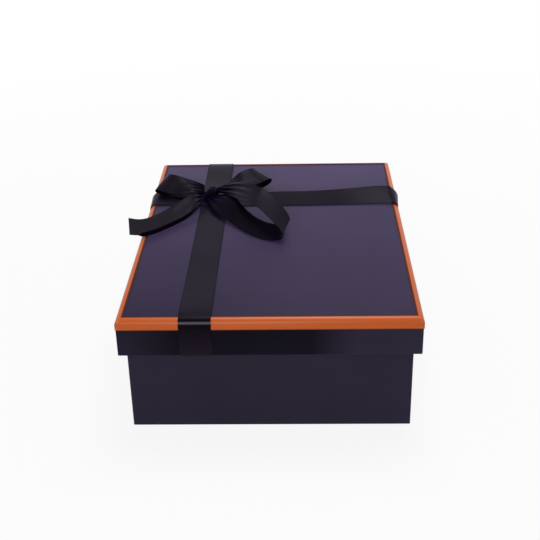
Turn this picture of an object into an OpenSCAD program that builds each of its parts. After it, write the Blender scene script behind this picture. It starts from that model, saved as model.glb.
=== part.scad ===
// Gift box: a rigid set-up box with a lift-off lid, an edge trim of coloured paper
// and a satin ribbon tied in a bow. Millimetres. Origin: centre of the base's underside.
// +Z is up, the long side runs along Y, and the front of the box faces -Y.

/* [Box] */
// Width of the lid over its covering paper
lid_w = 234; // [180:1:300]
// Length of the lid over its covering paper
lid_l = 329; // [250:1:420]
// Height of the closed box
box_h = 100.5; // [80:0.5:140]
// Depth of the lid's skirt
skirt_h = 31; // [24:1:45]
// Radius of the lid's rounded shoulder
shoulder_r = 4; // [3:0.5:5]
// Play between the lid's inside and the base, each side
lid_play = 2.3; // [1.5:0.1:3]
// Gap between the base's rim and the lid's lining
rest_gap = 0.3; // [0.2:0.05:0.5]

/* [Board and paper] */
// Thickness of the lid's greyboard
lid_board_t = 3; // [2.5:0.1:3.6]
// Thickness of the base's greyboard
base_board_t = 2.5; // [2:0.1:3.2]
// Thickness of the covering paper
wrap_t = 0.3; // [0.2:0.05:0.4]
// Thickness of the lining paper and of the bottom sheet
liner_t = 0.3; // [0.2:0.05:0.4]
// How far the covering paper turns in over a rim
turn_in = 15; // [10:1:20]
// How far the base's covering paper turns in under its floor
bottom_margin = 14; // [8:1:20]
// How far the bottom sheet stays back from the base's sides
bottom_sheet_inset = 2; // [1:0.5:4]
// Width of each leg of a corner stay
stay_leg = 18; // [12:1:25]
// Thickness of a corner stay
stay_t = 0.15; // [0.1:0.05:0.2]
// Film of glue between two layers
glue = 0.05; // [0.05:0.01:0.08]

/* [Edge trim] */
// Thickness of the edge trim
trim_t = 0.4; // [0.3:0.05:0.6]
// Width of the trim on the top of the lid
trim_top = 5.5; // [5:0.1:8]
// Depth of the trim down the skirt
trim_drop = 8.4; // [6.5:0.1:12]

/* [Ribbon] */
// Width of the ribbon
ribbon_w = 25; // [22:0.5:27]
// Thickness of the ribbon
ribbon_t = 0.4; // [0.3:0.05:0.5]
// Length of each ribbon end glued inside the skirt
ribbon_tuck = 15; // [10:1:20]
// Distance of the long ribbon's middle from the lid's left side
long_ribbon_at = 60.5; // [55:0.5:90]
// Distance of the cross ribbon's middle from the lid's rear side
cross_ribbon_at = 101; // [80:0.5:130]

/* [Bow] */
// Length of the knot along the cross ribbon
knot_len = 13; // [11:0.5:13]
// Width of the knot across the cross ribbon
knot_w = 16; // [14:0.5:18]
// Height of the knot
knot_h = 12.5; // [11:0.5:14]
// Share of the ribbon's width that a gathered end keeps at the knot
gather = 0.5; // [0.4:0.05:0.6]

/* [Hidden] */
$fn = 48;
// Overrun of a cutting shape past what it cuts
over = 1;

// Lid, from the outside in
lid_top = box_h;
rim_z = lid_top - skirt_h;
lid_board_w = lid_w - 2 * (wrap_t + glue);
lid_board_l = lid_l - 2 * (wrap_t + glue);
lid_board_top = lid_top - wrap_t - glue;
lid_board_rim = rim_z + wrap_t + glue;
lid_cavity_w = lid_board_w - 2 * lid_board_t;
lid_cavity_l = lid_board_l - 2 * lid_board_t;
lid_cavity_top = lid_board_top - lid_board_t;
lid_inside_w = lid_cavity_w - 2 * (glue + max(wrap_t, liner_t));
lid_inside_l = lid_cavity_l - 2 * (glue + max(wrap_t, liner_t));
lid_lining_z = lid_cavity_top - glue - liner_t;

// Base, from the outside in
base_w = lid_inside_w - 2 * lid_play;
base_l = lid_inside_l - 2 * lid_play;
base_h = lid_lining_z - rest_gap;
base_board_w = base_w - 2 * (wrap_t + glue);
base_board_l = base_l - 2 * (wrap_t + glue);
base_margin_z = liner_t + glue;
base_board_z = base_margin_z + wrap_t + glue;
base_board_top = base_h - wrap_t - glue;
base_cavity_w = base_board_w - 2 * base_board_t;
base_cavity_l = base_board_l - 2 * base_board_t;
base_floor_z = base_board_z + base_board_t;

// Trim and ribbons, as growths over the lid's covering paper
trim_in = glue;
trim_out = trim_in + trim_t;
long_in = trim_out + glue;
long_out = long_in + ribbon_t;
cross_in = long_out + glue;
cross_out = cross_in + ribbon_t;

// Crossing of the two ribbons, on the lid's top
cross_x = long_ribbon_at - lid_w / 2;
cross_y = lid_l / 2 - cross_ribbon_at;

// Middle of the knot, measured from the ribbons' crossing
knot_x = -3;
knot_y = 4;

// Bow ribbons: each station is [middle, direction across the ribbon, share of its width],
// measured from the ribbons' crossing. They run from the knot outwards and, for a loop, back to it.
band_steps = 5;
left_loop_stations = [
    [[-10, 5, 11.5], [-1, 14, 1], gather],
    [[-24, 9, 13], [-2, 24, 2], 0.95],
    [[-37, 13, 14.5], [0, 24, 6], 1],
    [[-46, 17, 14], [4, 24, 7], 1],
    [[-51.5, 21, 12], [8, 23, 6], 1],
    [[-52.5, 21.5, 9.5], [8, 23, 6], 1],
    [[-47, 19, 6], [5, 24, 4], 1],
    [[-35, 14, 4.5], [1, 24, 2], 1],
    [[-22, 9, 4.5], [0, 24, 0], 0.9],
    [[-10, 9, 4.5], [1, 14, 0], gather]
];
right_loop_stations = [
    [[4, 2, 11.5], [1, 13, 3], gather],
    [[20, -15, 19], [5, 15, 4], 0.65],
    [[37, -39, 24], [7, 23, 8], 1],
    [[48, -51, 23], [9, 23, 5], 1],
    [[58.5, -65.5, 18.5], [11, 22, 2], 1],
    [[66.5, -77, 13], [9, 23, 1], 1],
    [[68.5, -81, 8.5], [5, 23, 3], 1],
    [[63.5, -80, 4.5], [2, 24, 4], 1],
    [[51.5, -76, 3.4], [3, 24, 4.5], 1],
    [[39, -66, 4.2], [5, 24, 5.5], 1],
    [[28, -52, 5], [7, 23, 5], 1],
    [[17, -38, 6.5], [8, 22, 5], 0.95],
    [[9, -23, 7.5], [6, 20, 4], 0.8],
    [[4, -6, 5], [1, 13, 1], gather]
];
left_tail_stations = [
    [[-10, -4.5, 6.5], [-2, 13, 0], gather],
    [[-16, -25, 7.5], [-4, 17, 1], 0.75],
    [[-25.5, -39, 8.5], [-9, 22, 3], 0.95],
    [[-38, -53.5, 7.5], [-8, 23, 3], 1],
    [[-50, -64, 7.5], [-7, 23, 4], 1],
    [[-60, -70.5, 7.5], [-6, 24, 4], 1],
    [[-71, -73.5, 8], [-4, 24, 4], 1]
];
right_tail_stations = [
    [[4, 11, 8], [-1, 13, 1], gather],
    [[17, 18.5, 9], [-5, 24, 3], 0.95],
    [[28, 26.5, 11.5], [-10, 21, 7], 1],
    [[38, 32.5, 13.5], [-12, 21, 6], 1],
    [[45, 39, 12.5], [-14, 20, 2], 1],
    [[46.5, 40, 9.5], [-14, 20, 1], 1],
    [[42, 37, 6], [-14, 20, 1], 1],
    [[33, 30, 4], [-13, 21, 1], 1],
    [[23, 22, 3.2], [-10, 23, 0], 1]
];

function unit(v) = v / norm(v);

// Point at u (in stations) on a smooth curve through the points p
function spline_at(p, u) =
    let (last = len(p) - 1,
         i = min(floor(u), last - 1),
         t = u - i,
         a = p[max(i - 1, 0)], b = p[i], c = p[i + 1], d = p[min(i + 2, last)])
    0.5 * (2 * b + (c - a) * t + (2 * a - 5 * b + 4 * c - d) * t * t
           + (3 * b - a - 3 * c + d) * t * t * t);

// Four corners of the ribbon's cross-section at u
function band_corners(middles, across, shares, u) =
    let (step = 1 / band_steps,
         ends = len(middles) - 1,
         along = spline_at(middles, min(u + step, ends)) - spline_at(middles, max(u - step, 0)),
         side = unit(spline_at(across, u)) * ribbon_w * min(spline_at(shares, u), 1) / 2,
         up = unit(cross(side, along)) * ribbon_t / 2,
         m = spline_at(middles, u))
    [m - side - up, m + side - up, m + side + up, m - side + up];

// Flat ribbon swept through the stations
module ribbon_band(stations) {
    middles = [for (s = stations) s[0]];
    across = [for (s = stations) s[1]];
    shares = [for (s = stations) s[2]];
    last = (len(stations) - 1) * band_steps;
    rings = [for (k = [0 : last]) band_corners(middles, across, shares, k / band_steps)];
    points = [for (ring = rings) for (corner = ring) corner];
    sides = [
        for (k = [0 : last - 1]) for (j = [0 : 3])
            let (a = 4 * k + j, b = 4 * k + (j + 1) % 4)
            for (face = [[a, b, b + 4], [a, b + 4, a + 4]]) face
    ];
    end = 4 * last;
    caps = [[0, 2, 1], [0, 3, 2], [end, end + 1, end + 2], [end, end + 2, end + 3]];
    polyhedron(points = points, faces = concat(sides, caps), convexity = 6);
}

// Puts a bow piece at the ribbons' crossing
module at_crossing() {
    translate([cross_x, cross_y, lid_top]) children();
}

// Box centred in plan, standing at z
module block(w, l, z, h) {
    translate([-w / 2, -l / 2, z]) cube([w, l, h]);
}

// Upright rectangular tube, open above and below
module tube(w, l, t, z, h) {
    difference() {
        block(w, l, z, h);
        block(w - 2 * t, l - 2 * t, z - over, h + 2 * over);
    }
}

// Upright section with rounded top corners
module shoulder_section(w, bottom, top, r) {
    translate([-w / 2, bottom]) square([w, top - bottom - r]);
    translate([-w / 2 + r, bottom]) square([w - 2 * r, top - bottom]);
    for (side = [-1, 1]) translate([side * (w / 2 - r), top - r]) circle(r);
}

// Block with its four top edges rounded and mitred at the corners
module shoulder_block(w, l, bottom, top, r) {
    intersection() {
        rotate([90, 0, 0]) linear_extrude(l, center = true) shoulder_section(w, bottom, top, r);
        rotate([90, 0, 90]) linear_extrude(w, center = true) shoulder_section(l, bottom, top, r);
    }
}

// The lid's outside, grown by g all over
module lid_outside(g, bottom) {
    shoulder_block(lid_w + 2 * g, lid_l + 2 * g, bottom, lid_top + g, shoulder_r + g);
}

// Four corner stays, each an L of tape folded round an upright edge of a w by l block
module corner_stays(w, l, z, h) {
    for (sx = [0, 1]) for (sy = [0, 1]) mirror([sx, 0, 0]) mirror([0, sy, 0])
        translate([w / 2, l / 2, z]) difference() {
            translate([-stay_leg, -stay_leg, 0]) cube([stay_leg, stay_leg, h]);
            translate([-stay_leg - over, -stay_leg - over, -over])
                cube([stay_leg + over - stay_t, stay_leg + over - stay_t, h + 2 * over]);
        }
}

module base_board() {
    color("#8d8478") difference() {
        block(base_board_w, base_board_l, base_board_z, base_board_top - base_board_z);
        block(base_cavity_w, base_cavity_l, base_floor_z, base_h);
        corner_stays(base_board_w, base_board_l, base_board_z - over, base_h);
    }
}

module base_corner_stays() {
    color("#c9b48a")
        corner_stays(base_board_w, base_board_l, base_board_z, base_board_top - base_board_z);
}

module base_wrap() {
    turn_in_w = base_cavity_w - 2 * glue;
    turn_in_l = base_cavity_l - 2 * glue;
    rim_t = wrap_t + glue + base_board_t + glue + wrap_t;
    color("#211d26") {
        tube(base_w, base_l, wrap_t, base_margin_z, base_h - base_margin_z);
        tube(base_w, base_l, rim_t, base_h - wrap_t, wrap_t);
        tube(turn_in_w, turn_in_l, wrap_t, base_h - turn_in, turn_in);
        tube(base_w, base_l, bottom_margin, base_margin_z, wrap_t);
    }
}

module base_bottom_sheet() {
    color("#19161b")
        block(base_w - 2 * bottom_sheet_inset, base_l - 2 * bottom_sheet_inset, 0, liner_t);
}

module base_wall_liner() {
    bottom = base_floor_z + glue;
    color("#17151a")
        tube(base_cavity_w - 2 * glue, base_cavity_l - 2 * glue, liner_t, bottom,
             base_h - turn_in - bottom);
}

module base_floor_liner() {
    edge = 2 * (glue + liner_t + glue);
    color("#17151a")
        block(base_cavity_w - edge, base_cavity_l - edge, base_floor_z + glue, liner_t);
}

module lid_board() {
    color("#8d8478") difference() {
        shoulder_block(lid_board_w, lid_board_l, lid_board_rim, lid_board_top,
                       shoulder_r - wrap_t - glue);
        block(lid_cavity_w, lid_cavity_l, rim_z - over, lid_cavity_top - rim_z + over);
        corner_stays(lid_board_w, lid_board_l, rim_z - over, lid_top - shoulder_r - rim_z + over);
    }
}

module lid_corner_stays() {
    color("#c9b48a")
        corner_stays(lid_board_w, lid_board_l, lid_board_rim, lid_top - shoulder_r - lid_board_rim);
}

module lid_wrap() {
    turn_in_w = lid_cavity_w - 2 * glue;
    turn_in_l = lid_cavity_l - 2 * glue;
    rim_t = wrap_t + glue + lid_board_t + glue + wrap_t;
    color("#2b2735") {
        difference() {
            lid_outside(0, rim_z);
            lid_outside(-wrap_t, rim_z - over);
        }
        tube(lid_w, lid_l, rim_t, rim_z, wrap_t);
        tube(turn_in_w, turn_in_l, wrap_t, rim_z, turn_in);
    }
}

module lid_liner() {
    w = lid_cavity_w - 2 * glue;
    l = lid_cavity_l - 2 * glue;
    bottom = rim_z + turn_in + glue;
    color("#17151a") {
        tube(w, l, liner_t, bottom, lid_cavity_top - glue - bottom);
        block(w, l, lid_lining_z, liner_t);
    }
}

// The trim all round the lid's shoulder, cut to the plan outline of one side
module edge_trim() {
    bottom = lid_top - trim_drop;
    color("#d9662b") intersection() {
        difference() {
            lid_outside(trim_out, bottom);
            lid_outside(trim_in, bottom - over);
            block(lid_w - 2 * trim_top, lid_l - 2 * trim_top, lid_top - over, trim_out + 2 * over);
        }
        translate([0, 0, bottom - over]) linear_extrude(trim_drop + trim_out + 2 * over)
            children();
    }
}

// Plan outline of one side's trim, mitred at its ends: the side is w long and l / 2 from
// the middle, towards -Y if sign is -1
module mitred_strip(w, l, sign) {
    out = trim_out + over;
    deep = trim_top + over;
    polygon([
        [-w / 2 - out, sign * (l / 2 + out)],
        [w / 2 + out, sign * (l / 2 + out)],
        [w / 2 - deep, sign * (l / 2 - deep)],
        [-w / 2 + deep, sign * (l / 2 - deep)]
    ]);
}

module front_edge_trim() {
    edge_trim() mitred_strip(lid_w, lid_l, -1);
}

module rear_edge_trim() {
    edge_trim() mitred_strip(lid_w, lid_l, 1);
}

module left_edge_trim() {
    edge_trim() rotate(90) mitred_strip(lid_l, lid_w, 1);
}

module right_edge_trim() {
    edge_trim() rotate(90) mitred_strip(lid_l, lid_w, -1);
}

// Ribbon over a lid that is w across, from inside one skirt over the top to inside the other.
// It lies between the growths g_in and g_out over the covering paper.
module over_lid_ribbon(w, inside_w, g_in, g_out) {
    bottom = rim_z - g_out;
    outer_x = w / 2 + g_out;
    tuck_x = inside_w / 2 - glue - ribbon_t;
    color("#1d1a20") rotate([90, 0, 0]) linear_extrude(ribbon_w, center = true) {
        difference() {
            shoulder_section(2 * outer_x, bottom, lid_top + g_out, shoulder_r + g_out);
            shoulder_section(w + 2 * g_in, bottom - over, lid_top + g_in, shoulder_r + g_in);
        }
        for (side = [0, 1]) mirror([side, 0]) {
            translate([tuck_x, bottom]) square([outer_x - tuck_x, ribbon_t]);
            translate([tuck_x, bottom]) square([ribbon_t, ribbon_tuck]);
        }
    }
}

module long_ribbon() {
    translate([cross_x, 0, 0]) rotate(90)
        over_lid_ribbon(lid_l, lid_inside_l, long_in, long_out);
}

module cross_ribbon() {
    translate([0, cross_y, 0]) over_lid_ribbon(lid_w, lid_inside_w, cross_in, cross_out);
}

module bow_knot() {
    r = knot_h / 2;
    color("#1d1a20") at_crossing() translate([knot_x, knot_y, cross_out + glue + r])
        rotate([90, 0, 90]) linear_extrude(knot_len, center = true) {
            square([knot_w - 2 * r, knot_h], center = true);
            for (side = [-1, 1]) translate([side * (knot_w / 2 - r), 0]) circle(r);
        }
}

module bow_left_loop() {
    color("#1d1a20") at_crossing() ribbon_band(left_loop_stations);
}

module bow_right_loop() {
    color("#1d1a20") at_crossing() ribbon_band(right_loop_stations);
}

module bow_left_tail() {
    color("#1d1a20") at_crossing() ribbon_band(left_tail_stations);
}

module bow_right_tail() {
    color("#1d1a20") at_crossing() ribbon_band(right_tail_stations);
}

base_board();
base_corner_stays();
base_wrap();
base_bottom_sheet();
base_wall_liner();
base_floor_liner();
lid_board();
lid_corner_stays();
lid_wrap();
lid_liner();
front_edge_trim();
rear_edge_trim();
left_edge_trim();
right_edge_trim();
long_ribbon();
cross_ribbon();
bow_knot();
bow_left_loop();
bow_right_loop();
bow_left_tail();
bow_right_tail();
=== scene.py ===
"""Gift box: covers, trim, ribbons and bow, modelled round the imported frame.

All lengths are metres, in the frame's own axes: +Z up, the long side along Y, the front
facing -Y. Run as a script, it builds every piece and the stage.
"""

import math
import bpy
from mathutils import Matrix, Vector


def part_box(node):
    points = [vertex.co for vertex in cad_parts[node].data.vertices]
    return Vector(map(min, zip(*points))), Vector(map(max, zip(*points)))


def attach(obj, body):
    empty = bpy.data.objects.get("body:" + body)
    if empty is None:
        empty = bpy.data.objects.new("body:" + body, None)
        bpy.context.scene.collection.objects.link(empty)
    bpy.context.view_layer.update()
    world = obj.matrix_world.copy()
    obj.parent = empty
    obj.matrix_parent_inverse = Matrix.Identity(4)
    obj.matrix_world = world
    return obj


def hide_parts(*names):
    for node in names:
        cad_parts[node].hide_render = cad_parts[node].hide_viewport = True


bl_info = {
    "name": "Gift Box",
    "version": (1, 0, 0),
    "blender": (4, 5, 0),
    "location": "View3D > Sidebar > Gift Box",
    "description": "Rigid gift box with a lift-off lid, edge trim and a satin bow",
    "category": "Object",
}

import bmesh
import bpy
from bpy.props import FloatProperty, FloatVectorProperty, IntProperty, PointerProperty
from mathutils import Matrix, Vector

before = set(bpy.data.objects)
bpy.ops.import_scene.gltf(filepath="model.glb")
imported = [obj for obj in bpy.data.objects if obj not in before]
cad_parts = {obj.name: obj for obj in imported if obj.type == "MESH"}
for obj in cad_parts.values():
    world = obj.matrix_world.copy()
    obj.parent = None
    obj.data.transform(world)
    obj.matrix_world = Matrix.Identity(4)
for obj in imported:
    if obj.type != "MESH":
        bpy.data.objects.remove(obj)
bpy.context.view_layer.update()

MM = 0.001

# The box's main faces, from the frame
LID_LO, LID_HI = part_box("lid_wrap")
BASE_LO, BASE_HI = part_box("base_wrap")
LID_TOP = LID_HI.z
LID_RIM = LID_LO.z
TRIM_LO, TRIM_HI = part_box("front_edge_trim")
LONG_LO, LONG_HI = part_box("long_ribbon")
CROSS_LO, CROSS_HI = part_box("cross_ribbon")
CROSSING = Vector(((LONG_LO.x + LONG_HI.x) / 2, (CROSS_LO.y + CROSS_HI.y) / 2, LID_TOP))
INNER_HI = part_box("lid_liner")[1]
BASE_WALL_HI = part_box("base_wall_liner")[1]

# Width of the trim on the lid's top, and the open joint at each mitre
TRIM_WIDTH = 5.5 * MM
MITRE_GAP = 0.04 * MM

# What is lower than this below the lid's top hangs down its sides
SHOULDER_DROP = 6 * MM


# ---------------------------------------------------------------- settings


class GIFTBOX_PG_paper(bpy.types.PropertyGroup):
    """Paper and board"""

    paper: FloatProperty(
        name="Paper", description="Thickness of the covering paper",
        default=0.3 * MM, subtype="DISTANCE", unit="LENGTH",
    )
    shoulder: FloatProperty(
        name="Shoulder", description="Radius of the lid's top edges",
        default=4 * MM, subtype="DISTANCE", unit="LENGTH",
    )
    corner: FloatProperty(
        name="Corner", description="Radius of the upright edges",
        default=0.8 * MM, subtype="DISTANCE", unit="LENGTH",
    )
    rim: FloatProperty(
        name="Rim", description="Radius of the folds at the rims",
        default=0.4 * MM, subtype="DISTANCE", unit="LENGTH",
    )
    turn_in: FloatProperty(
        name="Turn-in", description="How far the covering paper turns in over a rim",
        default=15 * MM, subtype="DISTANCE", unit="LENGTH",
    )
    margin: FloatProperty(
        name="Margin", description="Covering paper turned in under the base",
        default=14 * MM, subtype="DISTANCE", unit="LENGTH",
    )
    trim: FloatProperty(
        name="Trim", description="Thickness of the edge trim",
        default=0.4 * MM, subtype="DISTANCE", unit="LENGTH",
    )
    cover_color: FloatVectorProperty(
        name="Cover", description="Colour of the covering paper",
        default=(0.0245, 0.0197, 0.0358), subtype="COLOR", min=0, max=1,
    )
    trim_color: FloatVectorProperty(
        name="Trim colour", description="Colour of the edge trim",
        default=(0.51, 0.09, 0.009), subtype="COLOR", min=0, max=1,
    )
    lining_color: FloatVectorProperty(
        name="Lining", description="Colour of the lining paper",
        default=(0.02, 0.018, 0.022), subtype="COLOR", min=0, max=1,
    )
    board_color: FloatVectorProperty(
        name="Board", description="Colour of the greyboard",
        default=(0.33, 0.3, 0.26), subtype="COLOR", min=0, max=1,
    )
    tape_color: FloatVectorProperty(
        name="Stays", description="Colour of the corner stays",
        default=(0.5, 0.36, 0.2), subtype="COLOR", min=0, max=1,
    )


class GIFTBOX_PG_ribbon(bpy.types.PropertyGroup):
    """Satin ribbon"""

    width: FloatProperty(
        name="Width", description="Width of the ribbon",
        default=LONG_HI.x - LONG_LO.x, subtype="DISTANCE", unit="LENGTH",
    )
    thickness: FloatProperty(
        name="Thickness", description="Thickness of the ribbon",
        default=0.35 * MM, subtype="DISTANCE", unit="LENGTH",
    )
    tuck: FloatProperty(
        name="Tuck", description="Ribbon glued inside the skirt at each end",
        default=15 * MM, subtype="DISTANCE", unit="LENGTH",
    )
    tilt: FloatProperty(
        name="Tilt", description="Tilt of the cross ribbon, its rear edge up",
        default=math.radians(10), subtype="ANGLE", unit="ROTATION",
    )
    pleat: FloatProperty(
        name="Pleat", description="Depth of the pleats where the ribbon is gathered",
        default=1.5 * MM, subtype="DISTANCE", unit="LENGTH",
    )
    strands: IntProperty(
        name="Strands", description="Faces across a ribbon", default=40, min=8, max=60,
    )
    color: FloatVectorProperty(
        name="Colour", description="Colour of the satin",
        default=(0.0034, 0.0018, 0.0046), subtype="COLOR", min=0, max=1,
    )


class GIFTBOX_PG_stage(bpy.types.PropertyGroup):
    """Floor, light and camera"""

    floor_color: FloatVectorProperty(
        name="Floor", description="Colour of the floor",
        default=(0.75, 0.75, 0.75), subtype="COLOR", min=0, max=1,
    )
    floor_shade: FloatProperty(
        name="Shadow", description="How much of the floor's shading the camera sees",
        default=0.12, min=0, max=1, subtype="FACTOR",
    )
    sky: FloatProperty(
        name="Fill", description="Light that the surroundings give", default=0.36, min=0,
    )
    key_power: FloatProperty(
        name="Key", description="Power of the main lamp, behind and above", default=15, unit="POWER",
    )
    front_power: FloatProperty(
        name="Front", description="Power of the lamp in front of the box", default=5, unit="POWER",
    )
    lens: FloatProperty(
        name="Lens", description="Focal length in millimetres", default=66.95,
    )
    camera_place: FloatVectorProperty(
        name="Camera", description="Place of the camera",
        default=(0.02213, -0.82121, 0.47689), subtype="TRANSLATION", unit="LENGTH",
    )
    camera_turn: FloatVectorProperty(
        name="Turn", description="Camera's pitch below level, roll and yaw",
        default=(math.radians(26.96), math.radians(1.269), math.radians(1.779)),
        subtype="EULER", unit="ROTATION",
    )


# ---------------------------------------------------------------- node trees


def put(tree, kind, inputs=None, **settings):
    """Adds a node; inputs maps a socket's name or index to a value or to another socket."""
    node = tree.nodes.new(kind)
    for name, value in settings.items():
        setattr(node, name, value)
    for name, value in (inputs or {}).items():
        socket = node.inputs[name]
        if isinstance(value, bpy.types.NodeSocket):
            tree.links.new(value, socket)
        else:
            socket.default_value = value
    return node


def math_node(tree, operation, a, b=0.0, c=0.0, clamp=False):
    """The output of a Math node."""
    inputs = {0: a, 1: b, 2: c}
    return put(tree, "ShaderNodeMath", inputs, operation=operation, use_clamp=clamp).outputs[0]


def mix_color(tree, share, a, b):
    """The output of a colour mix, from a to b by share."""
    return put(tree, "ShaderNodeMix", {0: share, 6: a, 7: b}, data_type="RGBA").outputs[2]


def scaled(tree, color, gain):
    """The output of a colour times a number."""
    return put(tree, "ShaderNodeVectorMath", {0: color, 3: gain}, operation="SCALE").outputs[0]


def vector_math(tree, operation, a, b=(0, 0, 0)):
    """The outputs of a Vector Math node."""
    return put(tree, "ShaderNodeVectorMath", {0: a, 1: b}, operation=operation).outputs


def parts_of(tree, vector):
    """The three parts of a vector."""
    return put(tree, "ShaderNodeSeparateXYZ", {0: vector}).outputs


def noise(tree, place, scale, detail, roughness=0.5, distortion=0.0):
    """The height of a noise texture."""
    inputs = {
        "Vector": place, "Scale": scale, "Detail": detail, "Roughness": roughness,
        "Distortion": distortion,
    }
    return put(tree, "ShaderNodeTexNoise", inputs).outputs[0]


def ranged(tree, value, low, high, to_low=0.0, to_high=1.0):
    """The output of a clamped Map Range node."""
    inputs = {0: value, 1: low, 2: high, 3: to_low, 4: to_high}
    return put(tree, "ShaderNodeMapRange", inputs).outputs[0]


def rgba(color, gain=1.0):
    """A colour with alpha, brightened by gain."""
    return (color[0] * gain, color[1] * gain, color[2] * gain, 1.0)


def new_group(name, inputs, outputs):
    """An empty node group with named sockets, and its input and output nodes."""
    group = bpy.data.node_groups.new(name, "ShaderNodeTree")
    for label, kind, default in inputs:
        socket = group.interface.new_socket(label, in_out="INPUT", socket_type=kind)
        socket.default_value = default
    for label, kind in outputs:
        group.interface.new_socket(label, in_out="OUTPUT", socket_type=kind)
    return group, group.nodes.new("NodeGroupInput"), group.nodes.new("NodeGroupOutput")


FLOAT, VECTOR = "NodeSocketFloat", "NodeSocketVector"


def mottle_group():
    """Cloudy variation round 1, for colour and gloss."""
    group, given, made = new_group(
        "Mottle",
        [("Vector", VECTOR, (0, 0, 0)), ("Scale", FLOAT, 30.0), ("Amount", FLOAT, 0.1)],
        [("Value", FLOAT)],
    )
    cloud = noise(group, given.outputs["Vector"], given.outputs["Scale"], detail=4, roughness=0.6)
    centred = math_node(group, "SUBTRACT", cloud, 0.5)
    value = math_node(group, "MULTIPLY_ADD", centred, given.outputs["Amount"], 1.0)
    group.links.new(value, made.inputs["Value"])
    return group


def fibre_group():
    """Paper fibres and flecks: a mask of fibres and the surface's height."""
    group, given, made = new_group(
        "Fibres",
        [("Vector", VECTOR, (0, 0, 0)), ("Scale", FLOAT, 900.0), ("Flecks", FLOAT, 0.3)],
        [("Mask", FLOAT), ("Height", FLOAT)],
    )
    felt = noise(
        group, given.outputs["Vector"], given.outputs["Scale"],
        detail=6, roughness=0.7, distortion=1.2,
    )
    fleck_scale = math_node(group, "MULTIPLY", given.outputs["Scale"], 0.35)
    fleck = put(
        group, "ShaderNodeTexVoronoi",
        {"Vector": given.outputs["Vector"], "Scale": fleck_scale, "Randomness": 1.0},
    )
    spots = ranged(group, fleck.outputs["Distance"], 0.05, 0.3, 1.0, 0.0)
    spots = math_node(group, "MULTIPLY", spots, given.outputs["Flecks"])
    mask = math_node(group, "ADD", felt, spots, clamp=True)
    group.links.new(mask, made.inputs["Mask"])
    group.links.new(felt, made.inputs["Height"])
    return group


def corner_wear_group():
    """Mask of rubbing along a box's upright corners, broken up by noise."""
    group, given, made = new_group(
        "Corner Wear",
        [("Vector", VECTOR, (0, 0, 0)), ("Half Size", VECTOR, (0.1, 0.1, 0.1)),
         ("Reach", FLOAT, 0.002), ("Amount", FLOAT, 0.5)],
        [("Mask", FLOAT)],
    )
    away = vector_math(group, "ABSOLUTE", given.outputs["Vector"])[0]
    gap = parts_of(group, vector_math(group, "SUBTRACT", given.outputs["Half Size"], away)[0])
    farther = math_node(group, "MAXIMUM", gap[0], gap[1])
    share = math_node(group, "DIVIDE", farther, given.outputs["Reach"])
    near = ranged(group, share, 0.2, 1.0, 1.0, 0.0)
    patches = noise(group, given.outputs["Vector"], scale=260, detail=6, roughness=0.75)
    broken = ranged(group, patches, 0.5, 0.68)
    mask = math_node(group, "MULTIPLY", near, broken)
    mask = math_node(group, "MULTIPLY", mask, given.outputs["Amount"], clamp=True)
    group.links.new(mask, made.inputs["Mask"])
    return group


def painted_shade_middle_group():
    """Mask of painted shade along the middle of each side, off by Shift along X."""
    group, given, made = new_group(
        "Painted Shade Middle",
        [("Vector", VECTOR, (0, 0, 0)), ("Half Size", VECTOR, (0.1, 0.1, 0.1)),
         ("Shift", FLOAT, 0.0), ("Depth", FLOAT, 0.0005)],
        [("Mask", FLOAT)],
    )
    place = parts_of(group, given.outputs["Vector"])
    half = parts_of(group, given.outputs["Half Size"])
    masks = []
    for along, facing, shift in ((0, 1, given.outputs["Shift"]), (1, 0, 0.0)):
        from_middle = math_node(group, "ABSOLUTE", math_node(group, "SUBTRACT", place[along], shift))
        share = math_node(group, "DIVIDE", from_middle, half[along])
        middle = ranged(group, share, 0.45, 0.75, 1.0, 0.0)
        reach = math_node(group, "ABSOLUTE", place[facing])
        inside = math_node(group, "SUBTRACT", half[facing], reach)
        on_side = math_node(group, "LESS_THAN", inside, given.outputs["Depth"])
        masks.append(math_node(group, "MULTIPLY", middle, on_side))
    group.links.new(math_node(group, "MAXIMUM", masks[0], masks[1]), made.inputs["Mask"])
    return group


def fold_highlight_group():
    """Mask of a painted highlight line where something is folded over a box's top edges.

    Drop is how far round the fold the line lies, Reach is half its width.
    """
    group, given, made = new_group(
        "Fold Highlight",
        [("Vector", VECTOR, (0, 0, 0)), ("Half Size", VECTOR, (0.1, 0.1, 0.1)),
         ("Drop", FLOAT, 2 * MM), ("Reach", FLOAT, 1 * MM)],
        [("Mask", FLOAT)],
    )
    away = vector_math(group, "ABSOLUTE", given.outputs["Vector"])[0]
    past = parts_of(group, vector_math(group, "SUBTRACT", away, given.outputs["Half Size"])[0])
    outer = math_node(group, "MAXIMUM", past[0], past[1])
    down = math_node(group, "SUBTRACT", outer, past[2])
    off_fold = math_node(group, "ABSOLUTE", math_node(group, "SUBTRACT", down, given.outputs["Drop"]))
    share = math_node(group, "DIVIDE", off_fold, given.outputs["Reach"])
    line = ranged(group, share, 0.3, 1.0, 1.0, 0.0)
    at_side = ranged(group, outer, -1.5 * MM, -0.5 * MM)
    group.links.new(math_node(group, "MULTIPLY", line, at_side), made.inputs["Mask"])
    return group


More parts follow.
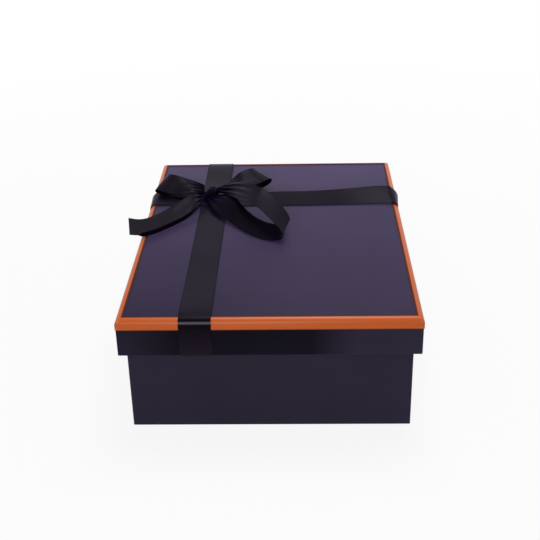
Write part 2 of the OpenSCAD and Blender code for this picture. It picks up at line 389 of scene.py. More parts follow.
def satin_group():
    """Satin weave on a ribbon's own UV: u across it, v along it in ribbon widths."""
    group, given, made = new_group(
        "Satin Weave",
        [("UV", VECTOR, (0, 0, 0)), ("Threads", FLOAT, 90.0), ("Selvage", FLOAT, 0.035)],
        [("Tone", FLOAT), ("Edge", FLOAT), ("Height", FLOAT)],
    )
    across, along, _ = parts_of(group, given.outputs["UV"])
    turns = math_node(group, "MULTIPLY", across, given.outputs["Threads"])
    warp = math_node(group, "SINE", math_node(group, "MULTIPLY", turns, math.tau))
    picks = math_node(group, "MULTIPLY", along, given.outputs["Threads"])
    step = math_node(group, "MULTIPLY_ADD", turns, 2.6, picks)
    float_ends = math_node(group, "SINE", math_node(group, "MULTIPLY", step, math.pi))
    float_ends = ranged(group, float_ends, 0.6, 1.0)
    streak_place = put(
        group, "ShaderNodeCombineXYZ",
        {0: math_node(group, "MULTIPLY", across, 60.0), 1: math_node(group, "MULTIPLY", along, 2.0)},
    )
    streaks = noise(group, streak_place.outputs[0], scale=1, detail=3, roughness=0.6)
    from_middle = math_node(group, "ABSOLUTE", math_node(group, "SUBTRACT", across, 0.5))
    from_edge = math_node(group, "SUBTRACT", 0.5, from_middle)
    selvages = math_node(group, "DIVIDE", from_edge, given.outputs["Selvage"])
    edge = ranged(group, selvages, 0.9, 1.1, 1.0, 0.0)
    tone = math_node(group, "MULTIPLY_ADD", streaks, 0.35, 0.82)
    tone = math_node(group, "MULTIPLY_ADD", float_ends, -0.10, tone)
    height = math_node(group, "MULTIPLY_ADD", warp, 0.25, math_node(group, "MULTIPLY", float_ends, -0.6))
    cords = math_node(group, "SINE", math_node(group, "MULTIPLY", picks, math.tau * 0.5))
    height = math_node(group, "MULTIPLY_ADD", math_node(group, "MULTIPLY", cords, edge), 1.5, height)
    group.links.new(tone, made.inputs["Tone"])
    group.links.new(edge, made.inputs["Edge"])
    group.links.new(height, made.inputs["Height"])
    return group


def use_group(tree, name, inputs):
    """Places a node group, building it the first time it is used."""
    makers = {
        "Mottle": mottle_group,
        "Fibres": fibre_group,
        "Corner Wear": corner_wear_group,
        "Painted Shade Middle": painted_shade_middle_group,
        "Fold Highlight": fold_highlight_group,
        "Satin Weave": satin_group,
    }
    group = bpy.data.node_groups.get(name) or makers[name]()
    return put(tree, "ShaderNodeGroup", inputs, node_tree=group)


# ---------------------------------------------------------------- materials


def new_material(name):
    """A material with its tree, its Principled shader and its Object coordinates."""
    material = bpy.data.materials.new(name)
    material.use_nodes = True
    tree = material.node_tree
    shader = tree.nodes["Principled BSDF"]
    place = tree.nodes.new("ShaderNodeTexCoord").outputs["Object"]
    return material, tree, shader, place


def settle(shader, **values):
    """Sets plain values on a shader, each named by its socket with _ for a space."""
    for name, value in values.items():
        shader.inputs[name.replace("_", " ")].default_value = value


def bump(tree, shader, height, strength, distance):
    """Feeds a height into the shader's normal."""
    node = put(tree, "ShaderNodeBump", {"Strength": strength, "Distance": distance, "Height": height})
    tree.links.new(node.outputs[0], shader.inputs["Normal"])


def cover_paper(name, half_size, painted_shade):
    """Dark laminated paper, a little cloudy, rubbed pale at the corners.

    Painted shade darkens the middles of its sides, and partly its top's front
    left corner; the third argument says how much.
    """
    paper = bpy.context.scene.giftbox_paper
    wear_and_highlight_color = (0.12, 0.1, 0.12, 1)
    # Reach of the painted shade towards the top's front left corner
    corner_shade_reach = 180 * MM
    material, tree, shader, place = new_material(name)
    clouds = use_group(tree, "Mottle", {"Vector": place, "Scale": 14.0, "Amount": 0.5})
    worn = use_group(
        tree, "Corner Wear",
        {"Vector": place, "Half Size": half_size, "Reach": 1.4 * MM, "Amount": 0.5},
    )
    # Painted shade along the middles of the sides
    painted_middle = use_group(
        tree, "Painted Shade Middle", {"Vector": place, "Half Size": half_size, "Shift": -20 * MM},
    )
    shade = math_node(tree, "MULTIPLY_ADD", painted_middle.outputs[0], -painted_shade, 1.0)
    # Painted shade, darker towards the top's front left corner
    front_left = (-half_size.x, -half_size.y, half_size.z)
    far = vector_math(tree, "DISTANCE", place, front_left)["Value"]
    corner_shade = ranged(tree, far, 0.0, corner_shade_reach, 1 - 0.65 * painted_shade, 1.0)
    gain = math_node(tree, "MULTIPLY", clouds.outputs[0], shade)
    gain = math_node(tree, "MULTIPLY", gain, corner_shade)
    tone = scaled(tree, paper.cover_color, gain)
    color = mix_color(tree, worn.outputs[0], tone, wear_and_highlight_color)
    tree.links.new(color, shader.inputs["Base Color"])
    smears = use_group(tree, "Mottle", {"Vector": place, "Scale": 35.0, "Amount": 0.4})
    rough = math_node(tree, "MULTIPLY", smears.outputs[0], 0.36)
    rough = math_node(tree, "MULTIPLY_ADD", worn.outputs[0], 0.4, rough)
    tree.links.new(rough, shader.inputs["Roughness"])
    settle(
        shader, Specular_IOR_Level=0.045, Sheen_Weight=0.5, Sheen_Roughness=0.4,
        Sheen_Tint=(0.44, 0.23, 0.97, 1),
    )
    peel = noise(tree, place, scale=420, detail=3)
    waves = noise(tree, place, scale=22, detail=1)
    height = math_node(tree, "MULTIPLY_ADD", peel, 0.06, waves)
    bump(tree, shader, height, strength=0.25, distance=0.4 * MM)
    return material


def trim_paper(name, half_size, along_x):
    """Orange coated paper with faint lengthwise streaks, paler where it is rubbed.

    Painted shade makes a dark line along its inner edge and its lower edge.
    """
    paper = bpy.context.scene.giftbox_paper
    wear_and_highlight_color = (0.8, 0.45, 0.28, 1)
    # Colour of the painted shade lines at the edges
    edge_shade_color = rgba(paper.trim_color, 0.06)
    material, tree, shader, place = new_material(name)
    stretch = (12.0, 900.0, 900.0) if along_x else (900.0, 12.0, 900.0)
    mapped = put(tree, "ShaderNodeMapping", {"Vector": place, "Scale": stretch})
    streaks = noise(tree, mapped.outputs[0], scale=1, detail=3)
    clouds = use_group(tree, "Mottle", {"Vector": place, "Scale": 40.0, "Amount": 0.18})
    streaky = math_node(tree, "MULTIPLY_ADD", streaks, 0.3, 0.85)
    gain = math_node(tree, "MULTIPLY", streaky, clouds.outputs[0])
    tone = scaled(tree, paper.trim_color, gain)
    worn = use_group(
        tree, "Corner Wear",
        {"Vector": place, "Half Size": half_size, "Reach": 4 * MM, "Amount": 0.7},
    )
    color = mix_color(tree, worn.outputs[0], tone, wear_and_highlight_color)
    parts = parts_of(tree, place)
    out = math_node(tree, "ABSOLUTE", parts[1 if along_x else 0])
    inner = (half_size.y if along_x else half_size.x) - TRIM_WIDTH
    # Painted shade: dark lines along the inner edge and the lower edge
    inner_line = ranged(tree, out, inner + 0.7 * MM, inner + 1.3 * MM, 0.9, 0.0)
    lower_line = ranged(tree, parts[2], TRIM_LO.z + 0.2 * MM, TRIM_LO.z + 0.9 * MM, 0.6, 0.0)
    painted_shade_line = math_node(tree, "MAXIMUM", inner_line, lower_line)
    color = mix_color(tree, painted_shade_line, color, edge_shade_color)
    tree.links.new(color, shader.inputs["Base Color"])
    rough = math_node(tree, "MULTIPLY_ADD", streaks, 0.12, 0.3)
    rough = math_node(tree, "MULTIPLY_ADD", painted_shade_line, 0.6, rough)
    tree.links.new(rough, shader.inputs["Roughness"])
    settle(shader, Specular_IOR_Level=0.26)
    bump(tree, shader, streaks, strength=0.2, distance=0.05 * MM)
    return material


def fibrous_paper(name, color, scale, flecks, roughness, contrast):
    """Uncoated paper or board with fibres and flecks."""
    material, tree, shader, place = new_material(name)
    fibres = use_group(tree, "Fibres", {"Vector": place, "Scale": scale, "Flecks": flecks})
    clouds = use_group(tree, "Mottle", {"Vector": place, "Scale": 25.0, "Amount": 0.25})
    gain = ranged(tree, fibres.outputs["Mask"], 0.3, 0.9, 1 - contrast, 1 + contrast)
    gain = math_node(tree, "MULTIPLY", gain, clouds.outputs[0])
    tree.links.new(scaled(tree, color, gain), shader.inputs["Base Color"])
    rough = math_node(tree, "MULTIPLY_ADD", fibres.outputs["Mask"], 0.1, roughness - 0.05)
    tree.links.new(rough, shader.inputs["Roughness"])
    settle(shader, Specular_IOR_Level=0.3)
    bump(tree, shader, fibres.outputs["Height"], strength=0.4, distance=0.1 * MM)
    return material


def satin(name, roughness, specular, coat, gain):
    """One side of a black satin ribbon, with a woven selvage at both edges.

    It has a painted highlight where it folds over the lid's edge, and painted light makes it paler
    towards the rim.
    gain brightens or darkens the ribbon's colour.
    """
    ribbon = bpy.context.scene.giftbox_ribbon
    wear_and_highlight_color = (0.085, 0.075, 0.09, 1)
    rim_light_color = (0.013, 0.009, 0.016, 1)
    material, tree, shader, place = new_material(name)
    uv = put(tree, "ShaderNodeUVMap", uv_map="Ribbon").outputs[0]
    weave = use_group(tree, "Satin Weave", {"UV": uv})
    side_color = rgba(ribbon.color, gain)[:3]
    tone = scaled(tree, side_color, weave.outputs["Tone"])
    color = mix_color(tree, weave.outputs["Edge"], tone, rgba(side_color, 0.75))
    # Painted highlight along the fold over the lid's edge
    fold_highlight = use_group(
        tree, "Fold Highlight",
        {"Vector": place, "Half Size": LID_HI, "Drop": 2.7 * MM, "Reach": 1.8 * MM},
    )
    color = mix_color(tree, fold_highlight.outputs[0], color, wear_and_highlight_color)
    # Painted light: paler towards the rim
    near_rim = ranged(tree, parts_of(tree, place)[2], LID_RIM, LID_TOP - SHOULDER_DROP, 1.0, 0.0)
    color = mix_color(tree, near_rim, color, rim_light_color)
    tree.links.new(color, shader.inputs["Base Color"])
    rough = math_node(tree, "MULTIPLY_ADD", weave.outputs["Edge"], 0.15, roughness - 0.05)
    rough = math_node(tree, "MULTIPLY_ADD", weave.outputs["Tone"], 0.06, rough)
    tree.links.new(rough, shader.inputs["Roughness"])
    settle(
        shader, Specular_IOR_Level=specular, Specular_Tint=(0.85, 0.65, 1.0, 1),
        Sheen_Weight=0.12, Sheen_Roughness=0.35, Sheen_Tint=(0.4, 0.1, 1.0, 1),
        Coat_Weight=coat, Coat_Roughness=0.2,
    )
    bump(tree, shader, weave.outputs["Height"], strength=0.12, distance=0.02 * MM)
    return material


def dress(obj, material):
    """Gives an object that one material."""
    obj.data.materials.clear()
    obj.data.materials.append(material)


# ---------------------------------------------------------------- modelling


def start_clean():
    """Leaves edit mode and deselects everything."""
    if bpy.context.object and bpy.context.object.mode != "OBJECT":
        bpy.ops.object.mode_set(mode="OBJECT")
    bpy.ops.object.select_all(action="DESELECT")


def new_block(name, lo, hi):
    """A block between two corners, in edit mode, with nothing selected."""
    start_clean()
    bpy.ops.mesh.primitive_cube_add(size=1, location=(lo + hi) / 2, scale=hi - lo)
    bpy.ops.object.transform_apply(location=True, rotation=True, scale=True)
    block = bpy.context.object
    block.name = block.data.name = name
    bpy.ops.object.mode_set(mode="EDIT")
    bpy.ops.mesh.select_all(action="DESELECT")
    return block


def pick(obj, kind, test):
    """Selects the faces or edges whose middle and normal, or two ends, pass the test."""
    bpy.ops.mesh.select_all(action="DESELECT")
    bpy.ops.mesh.select_mode(type="FACE" if kind == "FACE" else "EDGE")
    mesh = bmesh.from_edit_mesh(obj.data)
    if kind == "FACE":
        for face in mesh.faces:
            face.select_set(test(face.calc_center_median(), face.normal))
    else:
        for edge in mesh.edges:
            edge.select_set(test(edge.verts[0].co, edge.verts[1].co))
    mesh.select_flush_mode()
    bmesh.update_edit_mesh(obj.data)


def weigh(obj, tests):
    """Sets bevel weights: tests is a list of (test on an edge's two ends, weight)."""
    bpy.ops.object.mode_set(mode="OBJECT")
    mesh = obj.data
    layer = mesh.attributes.new("bevel_weight_edge", "FLOAT", "EDGE")
    for edge in mesh.edges:
        a, b = (mesh.vertices[v].co for v in edge.vertices)
        for test, weight in tests:
            if test(a, b):
                layer.data[edge.index].value = weight
                break


def apply_modifier(obj, kind, **settings):
    """Adds a modifier and applies it."""
    start_clean()
    obj.select_set(True)
    bpy.context.view_layer.objects.active = obj
    modifier = obj.modifiers.new(kind.title(), kind)
    for name, value in settings.items():
        setattr(modifier, name, value)
    bpy.ops.object.modifier_apply(modifier=modifier.name)


def smooth(obj, degrees=35):
    """Smooth shading, sharp where faces meet at more than that angle."""
    start_clean()
    obj.select_set(True)
    bpy.context.view_layer.objects.active = obj
    bpy.ops.object.shade_smooth_by_angle(angle=math.radians(degrees))


def near(a, b, reach=0.05 * MM):
    """Whether two numbers are the same within a small reach."""
    return abs(a - b) < reach


def faces_down(middle, normal):
    """Whether a face looks down."""
    return normal.z < -0.9


def faces_up(middle, normal):
    """Whether a face looks up."""
    return normal.z > 0.9


def upright(a, b):
    """Whether an edge stands upright."""
    return near(a.x, b.x) and near(a.y, b.y) and not near(a.z, b.z)


def level_at(z):
    """A test for edges that lie level at that height."""
    return lambda a, b: near(a.z, z) and near(b.z, z)


def outside_corner(half):
    """A test for upright edges at the corners of a block with that half size."""
    return lambda a, b: upright(a, b) and near(abs(a.x), half.x) and near(abs(a.y), half.y)


def build_lid_cover():
    """Covering paper of the lid: over the top, down the skirt, round the rim and in."""
    paper = bpy.context.scene.giftbox_paper
    cover = new_block("lid_cover", LID_LO, LID_HI)
    pick(cover, "FACE", faces_down)
    bpy.ops.mesh.inset(thickness=LID_HI.x - INNER_HI.x + paper.paper)
    bpy.ops.mesh.extrude_region_move(TRANSFORM_OT_translate={"value": (0, 0, paper.turn_in)})
    bpy.ops.mesh.delete(type="ONLY_FACE")
    rim = paper.rim / paper.shoulder
    weigh(cover, [
        (level_at(LID_HI.z), 1.0),
        (level_at(LID_LO.z), rim),
        (outside_corner(LID_HI), paper.corner / paper.shoulder),
        (upright, rim),
    ])
    apply_modifier(cover, "BEVEL", limit_method="WEIGHT", width=paper.shoulder, segments=7)
    apply_modifier(cover, "SOLIDIFY", thickness=paper.paper, offset=-1, use_even_offset=True)
    smooth(cover)
    dress(cover, cover_paper("lid_cover_paper", LID_HI, painted_shade=0.85))
    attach(cover, "lid")
    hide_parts("lid_wrap")


def build_base_cover():
    """Covering paper of the base: up the sides, over the rim and in, and in under the floor."""
    paper = bpy.context.scene.giftbox_paper
    cover = new_block("base_cover", BASE_LO, BASE_HI)
    pick(cover, "FACE", faces_up)
    bpy.ops.mesh.inset(thickness=BASE_HI.x - BASE_WALL_HI.x + paper.paper)
    bpy.ops.mesh.extrude_region_move(TRANSFORM_OT_translate={"value": (0, 0, -paper.turn_in)})
    bpy.ops.mesh.delete(type="ONLY_FACE")
    pick(cover, "FACE", lambda middle, normal: faces_down(middle, normal) and near(middle.z, BASE_LO.z))
    bpy.ops.mesh.inset(thickness=paper.margin)
    bpy.ops.mesh.delete(type="ONLY_FACE")
    weigh(cover, [
        (lambda a, b: level_at(BASE_LO.z)(a, b) and near(max(abs(a.x), abs(b.x)), BASE_HI.x), 0.6),
        (level_at(BASE_HI.z), paper.rim / paper.corner),
        (outside_corner(BASE_HI), 1.0),
        (upright, paper.rim / paper.corner),
    ])
    apply_modifier(cover, "BEVEL", limit_method="WEIGHT", width=paper.corner, segments=4)
    apply_modifier(cover, "SOLIDIFY", thickness=paper.paper, offset=-1, use_even_offset=True)
    smooth(cover)
    dress(cover, cover_paper("base_cover_paper", BASE_HI, painted_shade=0.0))
    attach(cover, "base")
    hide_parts("base_wrap")


def cut(point, normal):
    """Cuts the mesh that is being edited at a plane and drops what lies on its normal's side."""
    bpy.ops.mesh.select_mode(type="FACE")
    bpy.ops.mesh.select_all(action="SELECT")
    bpy.ops.mesh.bisect(plane_co=point, plane_no=normal, clear_outer=True)


def build_trim(side, across):
    """One strip of edge trim: across points from the lid's middle to that side."""
    paper = bpy.context.scene.giftbox_paper
    out = Vector((-TRIM_LO.x, -TRIM_LO.y, TRIM_HI.z))
    trim = new_block(f"trim_{side}", Vector((-out.x, -out.y, LID_RIM)), out)
    pick(trim, "FACE", faces_down)
    bpy.ops.mesh.delete(type="ONLY_FACE")
    radius = paper.shoulder + out.x - LID_HI.x
    weigh(trim, [
        (level_at(out.z), 1.0),
        (upright, paper.corner / radius),
    ])
    apply_modifier(trim, "BEVEL", limit_method="WEIGHT", width=radius, segments=7)
    bpy.ops.object.mode_set(mode="EDIT")
    cut((0, 0, TRIM_LO.z), (0, 0, -1))
    inner = across * (Vector((LID_HI.x, LID_HI.y, 0)).dot(Vector(map(abs, across))) - TRIM_WIDTH)
    cut(inner, -across)
    along = Vector((across.y, -across.x, 0))
    corner = Vector((across.x * out.x, across.y * out.y, 0))
    for sign in (-1, 1):
        mitre = corner + sign * Vector((abs(along.x) * out.x, abs(along.y) * out.y, 0))
        away = Vector((mitre.x / out.x, mitre.y / out.y, 0))
        turned = Vector((-away.y, away.x, 0))
        if turned.dot(across) > 0:
            turned = -turned
        cut(mitre + turned * MITRE_GAP, turned)
    bpy.ops.object.mode_set(mode="OBJECT")
    apply_modifier(trim, "SOLIDIFY", thickness=paper.trim, offset=-1, use_even_offset=True)
    smooth(trim)
    dress(trim, trim_paper(f"trim_{side}_paper", out, abs(across.y) > 0.5))
    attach(trim, "lid")
    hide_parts(f"{side}_edge_trim")


# ---------------------------------------------------------------- ribbons


def spline_at(points, u):
    """The point at u, counted in stations, on a smooth curve through vectors or numbers."""
    last = len(points) - 1
    i = min(int(u), last - 1)
    t = u - i
    a, b = points[max(i - 1, 0)], points[i]
    c, d = points[i + 1], points[min(i + 2, last)]
    return 0.5 * (
        2 * b + (c - a) * t + (2 * a - 5 * b + 4 * c - d) * t * t + (3 * b - a - 3 * c + d) * t * t * t
    )


def share_between(value, low, high):
    """How far value has come from low to high, from 0 to 1."""
    return min(1.0, max(0.0, (value - low) / (high - low)))


# Finish of a ribbon's two sides: roughness, specular, coat, brightness
RIBBON_SIDES = {
    "ribbon_face": (0.31, 0.031, 0.02, 1.0),
    "ribbon_back": (0.5, 0.016, 0.0, 0.5),
}


def weave_band(name, rows, top=0, closed=False):
    """A ribbon from rows of points across it, with its UV and its thickness.

    Its satin side is the one that faces up at the row with the number top.
    """
    ribbon = bpy.context.scene.giftbox_ribbon
    across = len(rows[0])
    width = rows[top][-1] - rows[top][0]
    ahead = rows[top + 1][across // 2] - rows[top][across // 2]
    if width.cross(ahead).z < 0:
        rows = [row[::-1] for row in rows]
    run = [0.0]
    ends = rows[1:] + (rows[:1] if closed else [])
    for a, b in zip(rows, ends):
        run.append(run[-1] + sum((q - p).length for p, q in zip(a, b)) / across)
    faces = []
    uvs = []
    for i in range(len(ends)):
        k = (i + 1) % len(rows)
        for j in range(across - 1):
            faces.append((i * across + j, i * across + j + 1, k * across + j + 1, k * across + j))
            for step, shift in ((0, 0), (0, 1), (1, 1), (1, 0)):
                uvs.append(((j + shift) / (across - 1), run[i + step] / ribbon.width))
    mesh = bpy.data.meshes.new(name)
    mesh.from_pydata([point for row in rows for point in row], [], faces)
    layer = mesh.uv_layers.new(name="Ribbon")
    for corner, uv in zip(layer.data, uvs):
        corner.uv = uv
    mesh.validate()
    band = bpy.data.objects.new(name, mesh)
    bpy.context.scene.collection.objects.link(band)
    for side, finish in RIBBON_SIDES.items():
        band.data.materials.append(bpy.data.materials.get(side) or satin(side, *finish))
    apply_modifier(band, "SOLIDIFY", thickness=ribbon.thickness, offset=0, material_offset=1)
    smooth(band, 60)
    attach(band, "lid")
    return band, run[-1]


def rounded(points):
    """A polyline with its corners cut round, its ends kept."""
    for _ in range(2):
        softer = [points[0]]
        for a, b in zip(points, points[1:]):
            softer.append(a.lerp(b, 0.25))
            softer.append(a.lerp(b, 0.75))
        softer.append(points[-1])
        points = softer
    return points


def spread(points, step):
    """The same polyline with points added so that none are farther apart than step."""
    fine = [points[0]]
    for a, b in zip(points, points[1:]):
        count = max(1, math.ceil((b - a).length / step))
        fine += [a.lerp(b, k / count) for k in range(1, count + 1)]
    return fine


# How far the middle of each crossing ribbon lies off the paper
LONG_LIFT = 0.35 * MM
CROSS_LIFT = 0.6 * MM
# Longest step along a crossing ribbon
STRAP_STEP = 2.5 * MM
# A crossing ribbon lies in waves this far inside the lid's sides
WAVY_INSIDE = 8 * MM


def strap_line(half, lift):
    """Half of a strap's line, as (out, up) from its tucked end to the lid's middle.

    half is the lid's half size along the strap. lift is how far the strap's middle lies
    off the paper, or off the trim where it crosses that. Behind the trim the strap is
    arched a little.
    """
    paper = bpy.context.scene.giftbox_paper
    ribbon = bpy.context.scene.giftbox_ribbon
    wall = LID_HI.x - INNER_HI.x + paper.paper
    trim = TRIM_HI.z - LID_TOP
    inside = half - wall - lift
    outside = half + lift
    over = outside + trim
    under = LID_RIM - lift
    shoulder = paper.shoulder
    top = LID_TOP + lift
    bend = 0.6 * MM
    line = [
        (inside, LID_RIM + ribbon.tuck),
        (inside, under + bend),
        (inside + bend / 2, under),
        (outside - bend / 2, under),
        (outside, under + bend),
        (outside, TRIM_LO.z - 1.6 * MM),
        (over, TRIM_LO.z - 0.2 * MM),
        (over, LID_TOP - shoulder),
    ]
    for k in range(1, 8):
        turn = math.pi / 2 * k / 8
        reach = shoulder + lift + trim
        line.append((
            half - shoulder + reach * math.cos(turn), LID_TOP - shoulder + reach * math.sin(turn),
        ))
    line += [
        (half - shoulder, top + trim + 0.1 * MM),
        (half - TRIM_WIDTH - 0.3 * MM, top + trim + 0.4 * MM),
        (half - TRIM_WIDTH - 7 * MM, top + 1.2 * MM),
        (half - TRIM_WIDTH - 18 * MM, top + 1.1 * MM),
        (half - TRIM_WIDTH - 50 * MM, top),
        (0, top),
    ]
    return [Vector(point) for point in line]


def strap_rows(line, place, across, ripple):
    """Rows of points for a strap.

    place turns a spot of its line, (out, up), into a point. across gives the direction of its
    width there, and ripple a small rise there at a share of the width.
    """
    ribbon = bpy.context.scene.giftbox_ribbon
    rows = []
    for spot in line:
        middle = place(spot)
        side = across(spot)
        row = []
        for j in range(ribbon.strands + 1):
            share = j / ribbon.strands - 0.5
            row.append(middle + side * share * ribbon.width + ripple(spot, share))
        rows.append(row)
    return rows


def whole_strap(half, lift):
    """A strap's whole line, from one tucked end to the other."""
    first = strap_line(half, lift)
    second = [Vector((-point.x, point.y)) for point in reversed(first[:-1])]
    return spread(rounded(first + second), STRAP_STEP)


def build_long_ribbon():
    """The ribbon from front to rear, under the cross ribbon."""
    line = whole_strap(LID_HI.y, LONG_LIFT)

    def place(spot):
        """The strap's middle at that spot of its line."""
        return Vector((CROSSING.x, spot.x, spot.y))

    def across(spot):
        """Direction across the strap, the same all along it."""
        return Vector((1, 0, 0))

    def ripple(spot, share):
        """Two slow waves, and a slight crown across the strap."""
        if spot.y <= LID_TOP or abs(spot.x) >= LID_HI.y - WAVY_INSIDE:
            return Vector()
        wave = 0.096 * (math.sin(spot.x * 95 + 1.5 * share) + math.sin(spot.x * 41 + 2))
        cup = (0.25 - share * share) * 0.5
        return Vector((0, 0, (wave + cup + 0.1) * MM))

    band, length = weave_band("ribbon_long", strap_rows(line, place, across, ripple), len(line) // 2)
    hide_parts("long_ribbon")


def build_cross_ribbon():
    """The ribbon from side to side, over the long ribbon, pulled a little on edge."""
    ribbon = bpy.context.scene.giftbox_ribbon
    line = whole_strap(LID_HI.x, CROSS_LIFT)
    fold_run = 7 * MM
    calm_reach = 42 * MM
    rise, rise_reach = 0.5 * MM, 20 * MM

    def hangs(spot):
        """Whether that spot is below the lid's shoulder."""
        return spot.y < LID_TOP - SHOULDER_DROP

    def is_tucked(spot):
        """Whether that spot is inside the skirt."""
        return abs(spot.x) < INNER_HI.x and hangs(spot)

    def over_edge(spot):
        """0 on the lid's top, 1 where the ribbon has turned down its side."""
        return share_between(abs(spot.x), LID_HI.x - fold_run, LID_HI.x)

    def near_knot(spot, reach):
        """1 at the knot, fading over that reach."""
        return math.exp(-(((spot.x - CROSSING.x) / reach) ** 2))

    def slant(spot):
        """Sine of the tilt: more towards the right, less under the bow, none at the rim."""
        down = share_between(spot.y, LID_RIM, LID_TOP)
        steeper = 0.88 + share_between(spot.x, 30 * MM, 105 * MM)
        calmer = 1 - 0.85 * near_knot(spot, calm_reach)
        return math.sin(ribbon.tilt) * steeper * down * down * calmer

    def place(spot):
        """The strap's middle, set back towards the left and raised by its tilt and the knot."""
        back = (0.4 + 2.4 * share_between(CROSSING.x - spot.x, 0, 50 * MM)) * MM
        up = 0.0
        if not hangs(spot):
            up = (1 - 0.5 * over_edge(spot)) * ribbon.width * 0.5 * slant(spot)
            up += rise * near_knot(spot, rise_reach)
        return Vector((spot.x, CROSSING.y + back, spot.y + up))

    def across(spot):
        """Direction across the strap, turned out where it folds over the lid's edge."""
        if is_tucked(spot):
            return Vector((0, 1, 0))
        edge = over_edge(spot)
        tip = slant(spot)
        return Vector((math.copysign(0.3 * edge * tip, spot.x), 1, (1 - edge) * tip)).normalized()

    def ripple(spot, share):
        """Two slow waves."""
        if spot.y <= LID_TOP or abs(spot.x) >= LID_HI.x - WAVY_INSIDE:
            return Vector()
        wave = 0.2 * (math.sin(spot.x * 70 + 2.5 * share) + math.sin(spot.x * 33 + 1))
        return Vector((0, 0, wave * MM))

    band, length = weave_band("ribbon_cross", strap_rows(line, place, across, ripple), len(line) // 2)
    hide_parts("cross_ribbon")


# The bow's ribbons as stations: middle, direction across, share of the full width.
# Millimetres from the crossing on the lid's top, near the CAD solids' own route.
GATHER = 0.3
LEFT_LOOP = [
    ((-10, 5, 11.5), (-1, 13, 4), GATHER),
    ((-24, 9, 12.5), (-2, 23, 4), 0.95),
    ((-35, 12, 12.5), (0, 22, 8.5), 1),
    ((-46, 16, 13), (4, 22, 8.5), 1),
    ((-52.5, 21, 12), (8, 23, 6), 1),
    ((-53.5, 21.5, 9.5), (8, 23, 6), 1),
    ((-47, 19, 6), (5, 24, 4), 1),
    ((-35, 15, 4), (1, 24, 1), 1),
    ((-22, 11, 4), (0, 24, 0), 0.9),
    ((-10, 9, 4.5), (1, 14, 0), GATHER),
]
RIGHT_LOOP = [
    ((4, 2, 11.5), (1, 13, 3), GATHER),
    ((20, -15, 19), (5, 14, 7), 0.7),
    ((37, -39, 24), (7, 23, 8), 1),
    ((48, -51, 23), (9, 23, 5), 1),
    ((58.5, -65.5, 18.5), (11, 22, 2), 1),
    ((66.5, -77, 13), (9, 23, 1), 1),
    ((68.5, -81, 8.5), (5, 23, 3), 1),
    ((63.5, -80, 4.5), (2, 24, 4), 1),
    ((51.5, -76, 3.4), (3, 24, 4.5), 1),
    ((39, -66, 4.2), (5, 24, 5.5), 1),
    ((28, -52, 5.5), (8, 22, 7), 1),
    ((18, -37, 8), (11, 20, 9), 1),
    ((8, -20, 8.5), (16, 13, 9), 0.9),
    ((-1, -5, 6.5), (10, 6, 4), 0.4),
]
LEFT_TAIL = [
    ((-10, -4.5, 6.5), (-2, 13, 4), GATHER),
    ((-16.5, -21, 9), (-5, 21, 7), 0.95),
    ((-26, -36, 8), (-9, 21, 6.5), 1),
    ((-38.5, -51, 6.5), (-8, 23, 4.5), 1),
    ((-50, -65, 6.5), (-7, 23, 4), 1),
    ((-60, -73.5, 7.5), (-6, 24, 4.5), 1),
    ((-71, -75, 9), (-4, 24, 5), 1),
]
RIGHT_TAIL = [
    ((4, 11, 8), (-1, 13, 1), GATHER),
    ((17, 18.5, 9), (-5, 24, 3), 0.95),
    ((28, 26.5, 11.5), (-10, 21, 7), 1),
    ((38, 32.5, 13.5), (-12, 21, 6), 1),
    ((45, 39, 12.5), (-14, 20, 2), 1),
    ((46.5, 40, 9.5), (-14, 20, 1), 1),
    ((42, 37, 6), (-14, 20, 1), 1),
    ((33, 30, 4), (-13, 21, 1), 1),
    ((23, 22, 3.2), (-10, 23, 0), 1),
]


# Radius of the bend where a tail's front edge is turned down
LIP_BEND = 1.2 * MM


def turned_down(length):
    """How far out and how far down a strip of that length reaches past that bend."""
    angle = min(length / LIP_BEND, math.pi / 2)
    straight = max(0.0, length - LIP_BEND * math.pi / 2)
    return LIP_BEND * math.sin(angle), LIP_BEND * (1 - math.cos(angle)) + straight


def bow_rows(stations, pleats, phase, lip=0.0):
    """Rows of points for a bow ribbon, pleated where it is gathered, creased beyond that.

    pleats is their number across it and phase shifts them. lip is the share of its width
    that is turned down along its front edge. u counts stations, q runs from -0.5 to 0.5
    across the ribbon.
    """
    ribbon = bpy.context.scene.giftbox_ribbon
    middles = [Vector(middle) * MM for middle, side, share in stations]
    sides = [Vector(side).normalized() for middle, side, share in stations]
    shares = [share for middle, side, share in stations]
    last = len(stations) - 1
    looped = shares[-1] < 0.5
    crease_depth, crease_reach = 0.5, 0.9
    lip_begins, lip_ends = (0, 1.2), (5, 5.4)
    steps = 12
    rows = []
    for i in range(last * steps + 1):
        u = i / steps
        middle = CROSSING + spline_at(middles, u)
        ahead = spline_at(middles, min(u + 0.1, last)) - spline_at(middles, max(u - 0.1, 0))
        side = spline_at(sides, u).normalized()
        up = side.cross(ahead).normalized()
        share = min(spline_at(shares, u), 1.0)
        gathered = (1 - share) / (1 - GATHER)
        off_knot = min(u, last - u) if looped else u
        crease = crease_depth * math.exp(-off_knot / crease_reach)
        turned = lip * share_between(u, *lip_begins) * (1 - share_between(u, *lip_ends))
        row = []
        for j in range(ribbon.strands + 1):
            q = j / ribbon.strands - 0.5
            pleat = math.cos(math.tau * pleats * q + phase) * gathered
            fold = math.cos(math.tau * (pleats - 1.6) * q + phase + 0.8 * u) * crease
            wave = 0.12 * math.sin(2.1 * u + phase + 3 * q)
            crown = 0.5 * (0.25 - q * q)
            rise = ribbon.pleat * (pleat + fold) + (wave + crown) * MM
            past = max(0.0, turned - 0.5 - q)
            reach, drop = turned_down(past * ribbon.width)
            out = (q + past) * ribbon.width * share - reach
            row.append(middle + side * out + up * (rise - drop))
        rows.append(row)
    return rows


